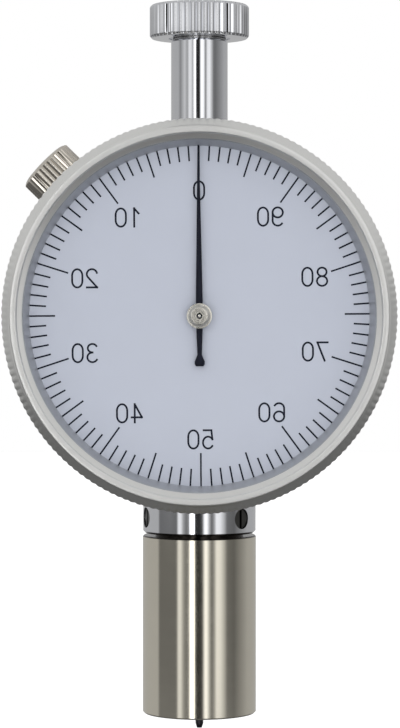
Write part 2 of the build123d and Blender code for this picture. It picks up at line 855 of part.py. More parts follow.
bearing_seats = (
    (centre, main_plate_rear, plate_t, pivot_d / 2),
    (hair_arbor, main_plate_rear, plate_t, pivot_d / 2),
    (centre, front_plate_rear, plate_t, centre_pin_d / 2),
    (hair_arbor, front_plate_rear, plate_t, pivot_d / 2),
    (rack_arbor, front_plate_rear, plate_t, pivot_d / 2),
    (rack_arbor, cock_rear, cock_t, pivot_d / 2),
)
with BuildPart() as bearing_bushes:
    for spot, rear, thickness, hole_r in bearing_seats:
        with BuildSketch(facing(rear)):
            with Locations(spot):
                Circle(bearing_d / 2)
                Circle(hole_r + running_fit, mode=Mode.SUBTRACT)
        extrude(amount=thickness)

# ================================================================ arbors, pinions and wheels
centre_phase = 0.0
pinion_rear = main_wheel_rear - 0.2
pinion_front = hair_wheel_front + 0.2
end_shake = 0.05
with BuildPart() as centre_arbor:
    with BuildSketch(arbor_section(centre)):
        with BuildLine():
            Polyline(
                *steps(
                    (pivot_d / 2, main_plate_rear, main_plate_front + end_shake),
                    (arbor_d / 2, main_plate_front + end_shake, front_plate_rear - end_shake),
                    (centre_pin_d / 2, front_plate_rear - end_shake, hub_front - 0.1),
                ),
                close=True,
            )
        make_face()
    revolve(axis=arbor_axis(centre))
    with BuildSketch(facing(pinion_rear)):
        with BuildLine():
            Polyline(*tooth_points(centre_teeth, module, centre_phase), close=True)
        make_face()
    extrude(amount=pinion_front - pinion_rear)

with BuildPart() as rack_arbor_piece:
    with BuildSketch(arbor_section(rack_arbor)):
        with BuildLine():
            Polyline(
                *steps(
                    (pivot_d / 2, cock_rear, cock_front + end_shake),
                    (arbor_d / 2, cock_front + end_shake, front_plate_rear - end_shake),
                    (pivot_d / 2, front_plate_rear - end_shake, front_plate_front),
                ),
                close=True,
            )
        make_face()
    revolve(axis=arbor_axis(rack_arbor))
    with BuildSketch(Plane(facing(-rack_width / 2) * Location((*rack_arbor, 0)))):
        with BuildLine():
            Polyline(*tooth_points(rack_teeth_per_turn, rack_module, 180), close=True)
        make_face()
    extrude(amount=rack_width)

main_wheel = wheel(
    rack_arbor,
    main_wheel_rear,
    meshing_phase(rack_arbor_angle, centre_phase, centre_teeth, wheel_teeth),
)

with BuildPart() as hairspring_arbor:
    with BuildSketch(arbor_section(hair_arbor)):
        with BuildLine():
            Polyline(
                *steps(
                    (pivot_d / 2, main_plate_rear, main_plate_front + end_shake),
                    (arbor_d / 2, main_plate_front + end_shake, hair_wheel_front),
                    (arbor_d / 2 - 0.2, hair_wheel_front, front_plate_rear - end_shake),
                    (pivot_d / 2, front_plate_rear - end_shake, front_plate_front),
                ),
                close=True,
            )
        make_face()
    revolve(axis=arbor_axis(hair_arbor))

hairspring_wheel = wheel(
    hair_arbor,
    hair_wheel_rear,
    meshing_phase(hair_angle, centre_phase, centre_teeth, wheel_teeth),
)

with BuildPart() as hairspring_collet:
    with BuildSketch(facing(hair_rear - 0.05)):
        with Locations(hair_arbor):
            Circle(hair_inner_r - hair_thick - 0.2)
            Circle(arbor_d / 2 - 0.2 + fit, mode=Mode.SUBTRACT)
    extrude(amount=hair_strip + 0.1)

# ================================================================ hairspring and its stud
hair_end_angle = -60.0


hair_half_turns = 2 * hair_turns
hair_growth = (hair_outer_r - hair_inner_r) / hair_half_turns

with BuildPart() as hairspring:
    # a spiral of half-turn arcs, each swung about one of two centres beside the arbor
    with BuildSketch(Plane(facing(hair_rear) * Location((*hair_arbor, 0), (0, 0, hair_end_angle)))):
        for i in range(hair_half_turns):
            side = 1 if i % 2 else -1
            swing_centre = (side * hair_growth / 2, 0)
            swing_r = hair_inner_r + hair_growth * (i + 0.5)
            with BuildLine():
                outer = CenterArc(swing_centre, swing_r + hair_thick / 2, 90 + side * 90, 180)
                inner = CenterArc(swing_centre, swing_r - hair_thick / 2, 90 + side * 90, 180)
                Line(outer @ 0, inner @ 0)
                Line(outer @ 1, inner @ 1)
            make_face()
    extrude(amount=hair_strip)

stud_r = 0.6
stud_spot = (
    hair_arbor[0] + polar(hair_outer_r + hair_thick / 2 + stud_r + 0.02, hair_end_angle)[0],
    hair_arbor[1] + polar(hair_outer_r + hair_thick / 2 + stud_r + 0.02, hair_end_angle)[1],
)
with BuildPart() as hairspring_stud:
    with BuildSketch(facing(hair_rear - 0.1)):
        with Locations(stud_spot):
            Circle(stud_r)
    extrude(amount=front_plate_rear - hair_rear + 0.1)

# ================================================================ bezel and what turns with it
with BuildPart() as bezel:
    with BuildSketch(facing(bezel_rear)):
        with BuildLine():
            Polyline(*ridge_points(bezel_crest_r, knurl_depth, knurl_count), close=True)
        make_face()
    extrude(amount=bezel_front - bezel_rear)
    with BuildSketch(dial_section):
        with BuildLine():
            Polyline(
                (bead_outer_r, bead_f),
                (bead_outer_r + bead_step, shoulder_f),
                (bezel_crest_r, rim_front),
                (bezel_crest_r, bezel_rear),
                (pocket_r, bezel_rear),
                (pocket_r, glass_front),
                (bezel_lip_r, glass_front),
                (bead_inner_r, bead_f),
            )
            ThreePointArc(
                (bead_inner_r, bead_f),
                ((bead_inner_r + bead_outer_r) / 2, bezel_front),
                (bead_outer_r, bead_f),
            )
        make_face()
    revolve(axis=dial_axis, mode=Mode.INTERSECT)

with BuildPart() as crystal:
    with BuildSketch(facing(glass_rear)):
        Circle(glass_r)
    extrude(amount=glass_t)

with BuildPart() as spacer_ring:
    with BuildSketch(dial_section):
        with BuildLine():
            Polyline(
                (spacer_rear_r, dial_front),
                (glass_r, dial_front),
                (glass_r, glass_rear),
                (spacer_front_r, glass_rear),
                close=True,
            )
        make_face()
    revolve(axis=dial_axis)

with BuildPart() as dial_plate:
    with BuildSketch(facing(carrier_front)):
        Circle(glass_r)
        Circle(dial_hole_d / 2, mode=Mode.SUBTRACT)
    extrude(amount=dial_t)

with BuildPart() as dial_carrier:
    with BuildSketch(facing(sleeve_rear)):
        Circle(sleeve_outer_r)
        Circle(sleeve_inner_r, mode=Mode.SUBTRACT)
    extrude(amount=carrier_front - sleeve_rear)
    with BuildSketch(facing(bezel_rear)):
        Circle(glass_r)
        Circle(sleeve_inner_r, mode=Mode.SUBTRACT)
    extrude(amount=carrier_t)
    with BuildSketch(dial_section):
        with Locations((sleeve_outer_r - ring_groove_depth, ring_rear - 0.2)):
            Rectangle(1.0, ring_w + 0.4, align=(Align.MIN, Align.MIN))
    revolve(axis=dial_axis, mode=Mode.SUBTRACT)

with BuildPart() as bezel_ring:
    with BuildSketch(facing(ring_rear)):
        Circle(case_bore_r + ring_groove_depth - 0.05)
        Circle(sleeve_outer_r - ring_groove_depth + 0.15, mode=Mode.SUBTRACT)
        with Locations((0, case_bore_r)):
            Rectangle(ring_mouth, ring_mouth, mode=Mode.SUBTRACT)
    extrude(amount=ring_w)

# ================================================================ pointer and hub
with BuildPart() as pointer:
    with BuildSketch(facing(pointer_rear)):
        with BuildLine():
            Polyline(
                (-pointer_tip_w / 2, pointer_len),
                (pointer_tip_w / 2, pointer_len),
                (pointer_hub_w / 2, 0),
                (pointer_tail_w / 2, counterweight_len - pointer_tail),
                (counterweight_w / 2, counterweight_len - pointer_tail - 0.2),
                (counterweight_w / 2, -pointer_tail),
                (-counterweight_w / 2, -pointer_tail),
                (-counterweight_w / 2, counterweight_len - pointer_tail - 0.2),
                (-pointer_tail_w / 2, counterweight_len - pointer_tail),
                (-pointer_hub_w / 2, 0),
                close=True,
            )
        make_face()
        Circle(hub_flange_d / 2)
        Circle(hub_neck_d / 2 + fit, mode=Mode.SUBTRACT)
    extrude(amount=pointer_t)

with BuildPart() as pointer_hub:
    with BuildSketch(dial_section):
        with BuildLine():
            Polyline(
                (centre_pin_d / 2 + fit, hub_rear),
                (hub_flange_d / 2, hub_rear),
                (hub_flange_d / 2, pointer_rear),
                (hub_neck_d / 2, pointer_rear),
                (hub_neck_d / 2, pointer_front),
                (hub_cap_d / 2, pointer_front),
                (hub_cap_d / 2, hub_cap_front),
                (hub_boss_d / 2, hub_cap_front),
                (hub_boss_d / 2, hub_front),
                (centre_pin_d / 2 + fit, hub_front),
                close=True,
            )
        make_face()
    revolve(axis=dial_axis)

# ================================================================ bezel clamp
with BuildPart() as clamp_shoe:
    with BuildSketch(outward(clamp_angle, clamp_forward, shoe_inner)):
        Circle(shoe_d / 2)
    extrude(amount=shoe_t)

clamp_out = Vector(cos(radians(clamp_angle)), 0, sin(radians(clamp_angle)))
clamp_origin = Vector(0, -clamp_forward, dial_z)
# section of the knob: (distance from the dial's axis, radius from the clamp's own axis)
clamp_section = Plane(
    origin=clamp_origin, x_dir=clamp_out, z_dir=(-clamp_out.Z, 0, clamp_out.X)
)
with BuildPart() as clamp_knob:
    with BuildSketch(outward(clamp_angle, clamp_forward, clamp_knob_inner)):
        with BuildLine():
            Polyline(*ridge_points(clamp_knob_d / 2, clamp_ridge_depth, clamp_ridge_count), close=True)
        make_face()
    extrude(amount=clamp_knob_len + clamp_dome)
    with BuildSketch(clamp_section):
        with BuildLine():
            Polyline(
                (clamp_knob_corner + clamp_dome, 0),
                (clamp_knob_inner, 0),
                (clamp_knob_inner, clamp_knob_d / 2 - 0.3),
                (clamp_knob_inner + 0.3, clamp_knob_d / 2),
                (clamp_knob_corner, clamp_knob_d / 2),
                (clamp_knob_corner + clamp_dome * 0.6, clamp_knob_d / 2 - 0.7),
            )
            ThreePointArc(
                (clamp_knob_corner + clamp_dome * 0.6, clamp_knob_d / 2 - 0.7),
                (clamp_knob_corner + clamp_dome * 0.9, clamp_knob_d / 4),
                (clamp_knob_corner + clamp_dome, 0),
            )
        make_face()
    revolve(axis=Axis(clamp_origin, clamp_out), mode=Mode.INTERSECT)
    with BuildSketch(outward(clamp_angle, clamp_forward, clamp_knob_inner)):
        Circle(clamp_screw_d / 2)
    extrude(amount=-(clamp_knob_inner - shoe_outer - 0.02))

# ================================================================ label and write every piece
pieces = {
    "case": case,
    "back_cover": back_cover,
    "back_cover_screws": back_cover_screws,
    "stem": stem,
    "upper_bush": upper_bush,
    "knob_washer": knob_washer,
    "top_knob": top_knob,
    "knob_stud": knob_stud,
    "foot": foot,
    "nose_bush": nose_bush,
    "spring_adjuster": spring_adjuster,
    "collar": collar,
    "collar_screws": collar_screws,
    "spindle": spindle,
    "indenter": indenter,
    "spring_seat": spring_seat,
    "main_spring": main_spring,
    "guide_pin": guide_pin,
    "guide_fork": guide_fork,
    "guide_fork_screws": guide_fork_screws,
    "main_plate": main_plate,
    "main_plate_screws": main_plate_screws,
    "plate_pillars": plate_pillars,
    "front_plate": front_plate,
    "front_plate_screws": front_plate_screws,
    "rear_cock": rear_cock,
    "cock_posts": cock_posts,
    "cock_screws": cock_screws,
    "bearing_bushes": bearing_bushes,
    "centre_arbor": centre_arbor,
    "rack_arbor": rack_arbor_piece,
    "main_wheel": main_wheel,
    "hairspring_arbor": hairspring_arbor,
    "hairspring_wheel": hairspring_wheel,
    "hairspring_collet": hairspring_collet,
    "hairspring": hairspring,
    "hairspring_stud": hairspring_stud,
    "bezel": bezel,
    "crystal": crystal,
    "spacer_ring": spacer_ring,
    "dial_plate": dial_plate,
    "dial_carrier": dial_carrier,
    "bezel_ring": bezel_ring,
    "pointer": pointer,
    "pointer_hub": pointer_hub,
    "clamp_shoe": clamp_shoe,
    "clamp_knob": clamp_knob,
}
for name, piece in pieces.items():
    piece.part.label = name
    export_step(piece.part, f"parts/{name}.step")
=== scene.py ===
# %% [markdown]
# # A dial hardness tester, dressed for its portrait
#
# The object is a pocket gauge for rubber: a chrome stem with a knurled cap, a round case with a turning
# dial, and a long turned foot with a hardened point under it. The machinery has already been drawn as
# solids. Here the outside gets its fine shapes, its finishes and its studio. Everything is in metres,
# +Z runs up the stem, and the dial faces -Y.

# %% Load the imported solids
import json
import math

import bmesh
import bpy
from mathutils import Matrix, Vector


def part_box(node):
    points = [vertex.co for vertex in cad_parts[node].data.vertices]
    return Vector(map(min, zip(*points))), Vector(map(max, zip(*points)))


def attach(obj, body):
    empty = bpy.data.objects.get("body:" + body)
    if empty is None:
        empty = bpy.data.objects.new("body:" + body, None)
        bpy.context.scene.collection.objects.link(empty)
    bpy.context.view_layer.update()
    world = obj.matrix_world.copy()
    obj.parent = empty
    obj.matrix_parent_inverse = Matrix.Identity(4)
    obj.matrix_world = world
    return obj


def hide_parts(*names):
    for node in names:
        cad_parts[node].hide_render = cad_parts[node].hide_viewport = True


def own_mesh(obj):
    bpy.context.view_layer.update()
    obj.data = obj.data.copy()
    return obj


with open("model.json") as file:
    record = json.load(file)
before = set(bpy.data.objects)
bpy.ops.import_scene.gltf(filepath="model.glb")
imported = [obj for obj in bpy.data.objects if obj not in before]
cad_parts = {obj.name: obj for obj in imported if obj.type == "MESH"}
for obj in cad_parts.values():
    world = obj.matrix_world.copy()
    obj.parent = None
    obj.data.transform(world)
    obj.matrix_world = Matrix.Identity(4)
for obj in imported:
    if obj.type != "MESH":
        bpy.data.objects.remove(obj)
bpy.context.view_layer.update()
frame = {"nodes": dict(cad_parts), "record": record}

# %% [markdown]
# ## Where things are
#
# No place is typed twice. The solids already say where the dial's centre is, how far forward its face
# stands and how tall the foot is, so the script asks them. "Forward" is the distance towards the reader,
# which is -Y.

# %% Measure the solids
mm = 0.001
body_of = {node: body for body, nodes in frame["record"]["behaviour"]["bodies"].items() for node in nodes}
slot_of = {part["node"]: part["material_slot"] for part in frame["record"]["subparts"]}


def low(node):
    """Lowest corner of a node's box."""
    return Vector(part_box(node)[0])


def high(node):
    """Highest corner of a node's box."""
    return Vector(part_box(node)[1])


def grey(value):
    """An even grey as the colour that a shader socket takes."""
    return (value, value, value, 1.0)


dial_z = (low("dial_plate").z + high("dial_plate").z) / 2
face_forward = -low("dial_plate").y
print("dial centre at", round(dial_z / mm, 2), "mm, face", round(face_forward / mm, 2), "mm forward")

# %% [markdown]
# ## Writing finishes as sums
#
# A finish is a small network of shader nodes. Wiring it line by line hides the idea, so one class wraps a
# value in the network and answers to + - * /. Then a scratch pattern reads like the formula it is.

# %% A value in a shader network
class Signal:
    """A shader value. Arithmetic on it adds Math nodes."""

    def __init__(self, finish, socket):
        self.finish = finish
        self.socket = socket

    def math(self, operation, *others):
        values = {place: value for place, value in enumerate((self, *others))}
        return self.finish.node("Math", {"operation": operation}, values)

    def __add__(self, other):
        return self.math("ADD", other)

    __radd__ = __add__

    def __sub__(self, other):
        return self.math("SUBTRACT", other)

    def __rsub__(self, other):
        return self.math("MULTIPLY", -1.0).math("ADD", other)

    def __mul__(self, other):
        return self.math("MULTIPLY", other)

    __rmul__ = __mul__

    def __truediv__(self, other):
        return self.math("DIVIDE", other)

    def between(self):
        """The value, held from 0 to 1."""
        return self.math("MAXIMUM", 0.0).math("MINIMUM", 1.0)


class Finish:
    """A material under construction."""

    def __init__(self, name, tree=None):
        if tree is None:
            self.material = bpy.data.materials.new(name)
            self.material.use_nodes = True
            tree = self.material.node_tree
        self.tree = tree
        self.tree.nodes.clear()

    def node(self, kind, settings, sockets, output=0):
        """Adds a node: its settings first, then the values or links of its sockets."""
        made = self.tree.nodes.new("ShaderNode" + kind)
        for key, value in settings.items():
            if key == "stops":
                set_stops(made.color_ramp, value)
            else:
                setattr(made, key, value)
        for key, value in sockets.items():
            if isinstance(value, Signal):
                self.tree.links.new(value.socket, made.inputs[key])
            else:
                made.inputs[key].default_value = value
        return Signal(self, made.outputs[output]) if len(made.outputs) else None

    def place(self):
        """Object coordinates as three signals."""
        spot = self.node("TexCoord", {}, {}, "Object")
        return [self.node("SeparateXYZ", {}, {"Vector": spot}, axis) for axis in range(3)]

    def ramp(self, factor, stops):
        return self.node("ValToRGB", {"stops": stops}, {"Fac": factor})

    def mix(self, factor, first, second):
        """Mix of two colours."""
        return self.node("Mix", {"data_type": "RGBA"}, {"Factor": factor, 6: first, 7: second}, 2)

    def noise(self, vector, scale, detail=2.0):
        return self.node("TexNoise", {}, {"Vector": vector, "Scale": scale, "Detail": detail}, "Fac")

    def bump(self, height, distance, strength=1.0):
        values = {"Height": height, "Distance": distance, "Strength": strength}
        return self.node("Bump", {}, values)

    def surface(self, values):
        """Ends the network in one Principled surface."""
        shader = self.node("BsdfPrincipled", {}, values)
        self.node("OutputMaterial", {}, {"Surface": shader})
        return self.material


def set_stops(ramp, stops):
    """Gives a colour ramp its (position, grey or colour) stops."""
    while len(ramp.elements) > 1:
        ramp.elements.remove(ramp.elements[-1])
    for number, (position, value) in enumerate(stops):
        stop = ramp.elements[0] if number == 0 else ramp.elements.new(position)
        stop.position = position
        colour = (value, value, value) if isinstance(value, (int, float)) else value
        stop.color = (*colour, 1.0)


print("finishes are written with", Signal.__name__, "and", Finish.__name__)

# %% [markdown]
# ## Metal that was turned on a lathe
#
# A lathe leaves hair-fine rings: round the axis on a shaft, round the dial on a bezel. They could be cut
# into the mesh, but they are finer than a mesh should be, so they are noise in the finish instead. Noise
# turns into rings when it changes along one coordinate only, height for a shaft and radius for a bezel.
# Cast, milled and polished pieces get plain noise. The marks shift the roughness a little and bend the
# surface by a few thousandths of a millimetre at most.

# %% Marks on metal
across_shaft = 0.02


def shaft_rings(finish, pitch):
    """Noise that changes with height, and hardly at all across the shaft."""
    x, y, z = finish.place()
    spot = finish.node("CombineXYZ", {}, {"X": x * across_shaft, "Y": y * across_shaft, "Z": z})
    return finish.noise(spot, 1 / pitch)


def round_the_dial(finish):
    """The distance from the dial's axis and the place along it."""
    x, y, z = finish.place()
    rise = z - dial_z
    return (x * x + rise * rise).math("SQRT"), y


def dial_rings(finish, pitch):
    """Noise that changes with the distance from the dial's axis and along it."""
    radius, along = round_the_dial(finish)
    spot = finish.node("CombineXYZ", {}, {"X": radius, "Y": along, "Z": 0.0})
    return finish.noise(spot, 1 / pitch)


def grain(finish, size, detail=3.0):
    """Plain noise with grains of this size."""
    spot = finish.node("TexCoord", {}, {}, "Object")
    return finish.noise(spot, 1 / size, detail)


print("marks to choose from:", ", ".join(marks.__name__ for marks in (shaft_rings, dial_rings, grain)))

# %% [markdown]
# ## Painted shade
#
# Shade is painted darker into two places that light hardly reaches: the groove under the collar, and the
# ring round the arbor's riveted end. The shade could be painted on, which takes an unwrapped mesh and an
# image. Both places are easy to say as a height or a radius, so a mask worked out from the spot on the
# object darkens them.

# %% Painted shade
# A dark colour that stands in for shade, and how softly the painted shade fades in.
painted_shade_colour = (0.03, 0.026, 0.022, 1.0)
groove_depth = 0.65 * mm
shade_fade = 0.1 * mm
seam_inner = 0.22 * mm
seam_outer = 0.47 * mm


def groove_soil(finish):
    """Painted shade in the groove under the collar: 1 from just under the foot's shoulder upwards."""
    x, y, z = finish.place()
    start = low("collar").z - groove_depth
    return ((z - start) / shade_fade).between()


def seam_soil(finish):
    """Painted shade in the ring round the arbor's riveted end."""
    radius, _ = round_the_dial(finish)
    return radius.math("LESS_THAN", seam_outer) * radius.math("GREATER_THAN", seam_inner)


# Painted shade starts at this height on the foot and lies in a ring on the hub.
print("oil lies from", round((low("collar").z - groove_depth) / mm, 2), "mm up, and in a seam on the hub")

# %% [markdown]
# ## The metals
#
# Every metal on the tester is one recipe with other amounts: a colour with slow patches of wear, a
# roughness that the marks and the wear move, and the marks as bump. Fourteen materials could be wired one
# by one, but then a better idea would have to be wired in fourteen times. So one function makes a metal
# and a table holds the amounts. A metal's base colour is the colour of its reflection, which is why brass
# is yellow here and plating nearly white.

# %% Metals
metal_tone = 0.06
wear_size = 4 * mm
wear_share = 0.5
mark_strength = 0.5


def metal(name, colour, roughness, marks, size, spread, depth, painted_shade_mask=None):
    """A metal: its marks move roughness and height, and slow wear moves roughness and tone."""
    finish = Finish(name)
    pattern = marks(finish, size)
    wear = grain(finish, wear_size)
    darker = [channel * (1 - metal_tone) for channel in colour]
    tint = finish.mix(wear, (*darker, 1.0), (*colour, 1.0))
    # A mask may paint shade into the colour, darker where light hardly reaches.
    if painted_shade_mask:
        tint = finish.mix(painted_shade_mask(finish), tint, painted_shade_colour)
    rough = roughness + (pattern - 0.5) * spread + (wear - 0.5) * spread * wear_share
    return finish.surface(
        {
            "Base Color": tint,
            "Metallic": 1.0,
            "Roughness": rough,
            "Normal": finish.bump(pattern, depth, mark_strength),
        }
    )


# Each metal: colour, roughness, marks, their size in mm, spread of the roughness, depth in mm.
metals = {
    "case_satin": ((0.66, 0.66, 0.65), 0.36, grain, 0.25, 0.12, 0.002),
    "bezel_satin": ((0.95, 0.95, 0.93), 0.35, dial_rings, 0.1, 0.06, 0.006),
    "ring_satin": ((0.63, 0.64, 0.66), 0.5, grain, 0.2, 0.1, 0.002),
    "knob_nickel": ((0.78, 0.73, 0.65), 0.1, grain, 0.2, 0.06, 0.0006),
    "chrome_bar": ((0.86, 0.87, 0.90), 0.07, shaft_rings, 0.2, 0.03, 0.0002),
    "foot_steel": ((0.84, 0.795, 0.68), 0.12, shaft_rings, 0.1, 0.08, 0.0006),
    "hub_nickel": ((0.92, 0.88, 0.79), 0.26, grain, 0.2, 0.06, 0.0004),
    "steel": ((0.60, 0.60, 0.61), 0.25, grain, 0.2, 0.1, 0.001),
    "dark_steel": ((0.07, 0.07, 0.08), 0.3, shaft_rings, 0.08, 0.1, 0.001),
    "spring_steel": ((0.42, 0.42, 0.44), 0.28, grain, 0.1, 0.1, 0.001),
    "screw_steel": ((0.09, 0.09, 0.085), 0.3, grain, 0.1, 0.1, 0.001),
    "bearing_brass": ((0.74, 0.56, 0.28), 0.26, grain, 0.15, 0.1, 0.001),
    "plate_brass": ((0.76, 0.60, 0.33), 0.32, grain, 0.3, 0.12, 0.001),
    "gear_brass": ((0.80, 0.63, 0.33), 0.2, grain, 0.15, 0.08, 0.001),
}
# The foot's groove and the hub's seam get painted shade in their colour.
painted_shades = {"foot_steel": groove_soil, "hub_nickel": seam_soil}
finishes = {}
for name, (colour, roughness, marks, size, spread, depth) in metals.items():
    finishes[name] = metal(name, colour, roughness, marks, size * mm, spread, depth * mm, painted_shades.get(name))
print("metals:", ", ".join(finishes))

# %% [markdown]
# ## Paint and ink
#
# The dial is sprayed a pale blue-grey and printed in blue-black ink. The pointer is blued and lacquered
# nearly black. One flat colour would look like plastic, so the colour drifts a little over the plate, and
# the coat has the faint orange peel that spraying leaves.

# %% Paint and ink
paint_tone = 0.04
drift_size = 9 * mm
peel_roughness = 0.1
peel_strength = 0.4


def paint(name, colour, roughness, grain_size, depth, shine=0.5):
    """A sprayed coat with a faint orange peel."""
    finish = Finish(name)
    peel = grain(finish, grain_size)
    drift = grain(finish, drift_size)
    darker = [channel * (1 - paint_tone) for channel in colour]
    return finish.surface(
        {
            "Base Color": finish.mix(drift, (*darker, 1.0), (*colour, 1.0)),
            "Roughness": roughness + (peel - 0.5) * peel_roughness,
            "Specular IOR Level": shine,
            "Normal": finish.bump(peel, depth, peel_strength),
        }
    )


finishes["dial_paint"] = paint("dial_paint", (0.47, 0.49, 0.56), 0.5, 0.25 * mm, 0.002 * mm)
finishes["pointer_black"] = paint("pointer_black", (0.005, 0.006, 0.016), 0.5, 0.3 * mm, 0.001 * mm, 0.2)
finishes["dial_ink"] = paint("dial_ink", (0.006, 0.008, 0.020), 0.55, 0.1 * mm, 0.0005 * mm, 0.2)
print("with paint and ink:", len(finishes))

# %% [markdown]
# ## Glass
#
# The pane is flat and coated, clear to look through and a mirror towards a glancing view. A glass shader
# bends light in and out and takes many samples to show what lies behind. A flat pane hardly bends
# anything, so a clear shader and a mirror are mixed instead, by the Fresnel law. The coating takes the
# mirror away head-on: what the law gives there, and a trace more, is taken off. Light that leaves the pane
# must not meet the law again, because it was never bent on the way in, so the inside is simply clear.

# %% Glass
glass_ior = 1.38
head_on_mirror = 0.03
smear_size = 6 * mm
smear_roughness = 0.02
pane_tint = (0.99, 0.995, 1.0, 1.0)


def clear_glass(name):
    """Flat glass: clear head-on, as a coated pane is, and more of a mirror towards a glancing view."""
    finish = Finish(name)
    smear = grain(finish, smear_size)
    polish = {"Base Color": grey(1.0), "Metallic": 1.0, "Roughness": smear * smear_roughness}
    mirror = finish.node("BsdfPrincipled", {}, polish)
    clear = finish.node("BsdfTransparent", {}, {"Color": pane_tint})
    outside = 1 - finish.node("NewGeometry", {}, {}, "Backfacing")
    fresnel = finish.node("Fresnel", {}, {"IOR": glass_ior})
    share = (fresnel - head_on_mirror).math("MAXIMUM", 0.0) * outside
    both = finish.node("MixShader", {}, {"Fac": share, 1: clear, 2: mirror})
    finish.node("OutputMaterial", {}, {"Surface": both})
    return finish.material


finishes["crystal_glass"] = clear_glass("crystal_glass")
print("finishes in all:", len(finishes))

# %% [markdown]
# ## Turning a profile
#
# Nearly every visible piece is round, so it is made as a lathe makes it: a profile is drawn as a few
# corners, each with its own rounding, and spun about the axis. Rounding the corners of the flat profile
# before the spin is far cheaper than bevelling edges after it. The spin operator slows down with every
# step it adds, so it makes one slice, and copies of the slice fill the circle. A corner is (radius,
# distance along the axis, rounding), all in millimetres.

# %% The lathe
rounding_steps = 5
smallest_gap = 1e-7


def profile_wire(shape, corners, closed):
    """Draws a profile and rounds its corners."""
    spots = [Vector((radius * mm, 0, along * mm)) for radius, along, _ in corners]
    verts = [shape.verts.new(spot) for spot in spots]
    for first, second in zip(verts, verts[1:] + verts[:1] if closed else verts[1:]):
        shape.edges.new((first, second))
    for spot, (_, _, rounding) in zip(spots, corners):
        if rounding > 0:
            corner = min(shape.verts, key=lambda vert: (vert.co - spot).length)
            bmesh.ops.bevel(
                shape,
                geom=[corner],
                offset=rounding * mm,
                offset_type="OFFSET",
                segments=rounding_steps,
                profile=0.5,
                affect="VERTICES",
                material=-1,
            )


def spin_about_z(shape, angle, steps, duplicate, climb=0.0):
    """Sweeps an edge outline round +Z, or sets copies of a shape round it."""
    bmesh.ops.spin(
        shape,
        geom=shape.verts[:] + shape.edges[:] + shape.faces[:],
        cent=(0, 0, 0),
        axis=(0, 0, 1),
        dvec=(0, 0, climb),
        angle=angle,
        steps=steps,
        use_merge=False,
        use_normal_flip=False,
        use_duplicate=duplicate,
    )


def lathe(corners, steps, slices, closed=True):
    """Spins a profile through one slice of the turn and sets copies of the slice round the rest."""
    shape = bmesh.new()
    profile_wire(shape, corners, closed)
    slice_angle = math.tau / slices
    spin_about_z(shape, slice_angle, steps // slices, duplicate=False)
    spin_about_z(shape, math.tau - slice_angle, slices - 1, duplicate=True)
    bmesh.ops.remove_doubles(shape, verts=shape.verts[:], dist=smallest_gap)
    bmesh.ops.recalc_face_normals(shape, faces=shape.faces[:])
    return shape


print("a rounded corner has", rounding_steps, "steps")

# %% [markdown]
# ## Straight ridges
#
# The bezel, the cap and the clamp knob are ridged for the fingers. Ridges that are only bump leave the
# outline smooth, so they are pressed into the mesh. The turned shape already has vertices all round, and a
# wave moves them towards the axis. A sharpness below 1 gives wide crests and narrow grooves.

# %% Ridges
def ridges(shape, count, depth, above, full, sharpness=1.0):
    """Presses straight grooves in, none at the radius `above` and at their depth from the radius `full`."""
    for vert in shape.verts:
        radius = math.hypot(vert.co.x, vert.co.y)
        if radius > above * mm:
            reach = min(1.0, (radius / mm - above) / (full - above))
            wave = 0.5 + 0.5 * math.cos(count * math.atan2(vert.co.y, vert.co.x))
            share = (radius - depth * mm * reach * (1 - wave**sharpness)) / radius
            vert.co.x *= share
            vert.co.y *= share


print("straight grooves are pressed by", ridges.__name__)

# %% [markdown]
# ## From a shape to a piece
#
# The place of a piece goes into its mesh and its object stays at the origin, because the finishes read
# object coordinates. Round walls are shaded smooth and edges over an angle stay crisp. That costs no
# faces, while a bevel on every edge would. Then the piece says which body it moves with and which solid it
# stands for.

# %% From a shape to a piece
# Turns +Z to forward (-Y) and moves the axis to the dial's centre.
to_dial = Matrix.Translation((0, 0, dial_z)) @ Matrix.Rotation(math.radians(90), 4, "X")


def into_scene(name, shape, finish, place=Matrix(), sharp=30):
    """Makes an object of a bmesh, placed, smooth shaded, with edges over `sharp` degrees kept crisp."""
    bmesh.ops.transform(shape, matrix=place, verts=shape.verts[:])
    for edge in shape.edges:
        edge.smooth = edge.calc_face_angle(math.pi) < math.radians(sharp)
    for surface in shape.faces:
        surface.smooth = True
    mesh = bpy.data.meshes.new(name)
    shape.to_mesh(mesh)
    shape.free()
    if "custom_normal" in mesh.attributes:
        mesh.attributes.remove(mesh.attributes["custom_normal"])
    piece = bpy.data.objects.new(name, mesh)
    bpy.context.scene.collection.objects.link(piece)
    mesh.materials.append(finishes[finish])
    print(name, "faces:", len(mesh.polygons))
    return piece


def stands_for(piece, node):
    """The piece moves with a node's body and hides that node."""
    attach(piece, body_of[node])
    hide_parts(node)


print("lathe work is turned to face", [round(number) for number in to_dial.to_3x3() @ Vector((0, 0, 1))])

# %% [markdown]
# ## The bezel
#
# The bezel is one turned ring: a rim with 170 shallow scallops for the fingers, a chamfer, a round bead
# and a short slope down to the glass. It could be put together from a torus and some rings, but one
# profile makes one skin without seams, and every rounding has its place in it. The scallops are pressed in
# afterwards, deepest at the rim and gone a little way down the chamfer.

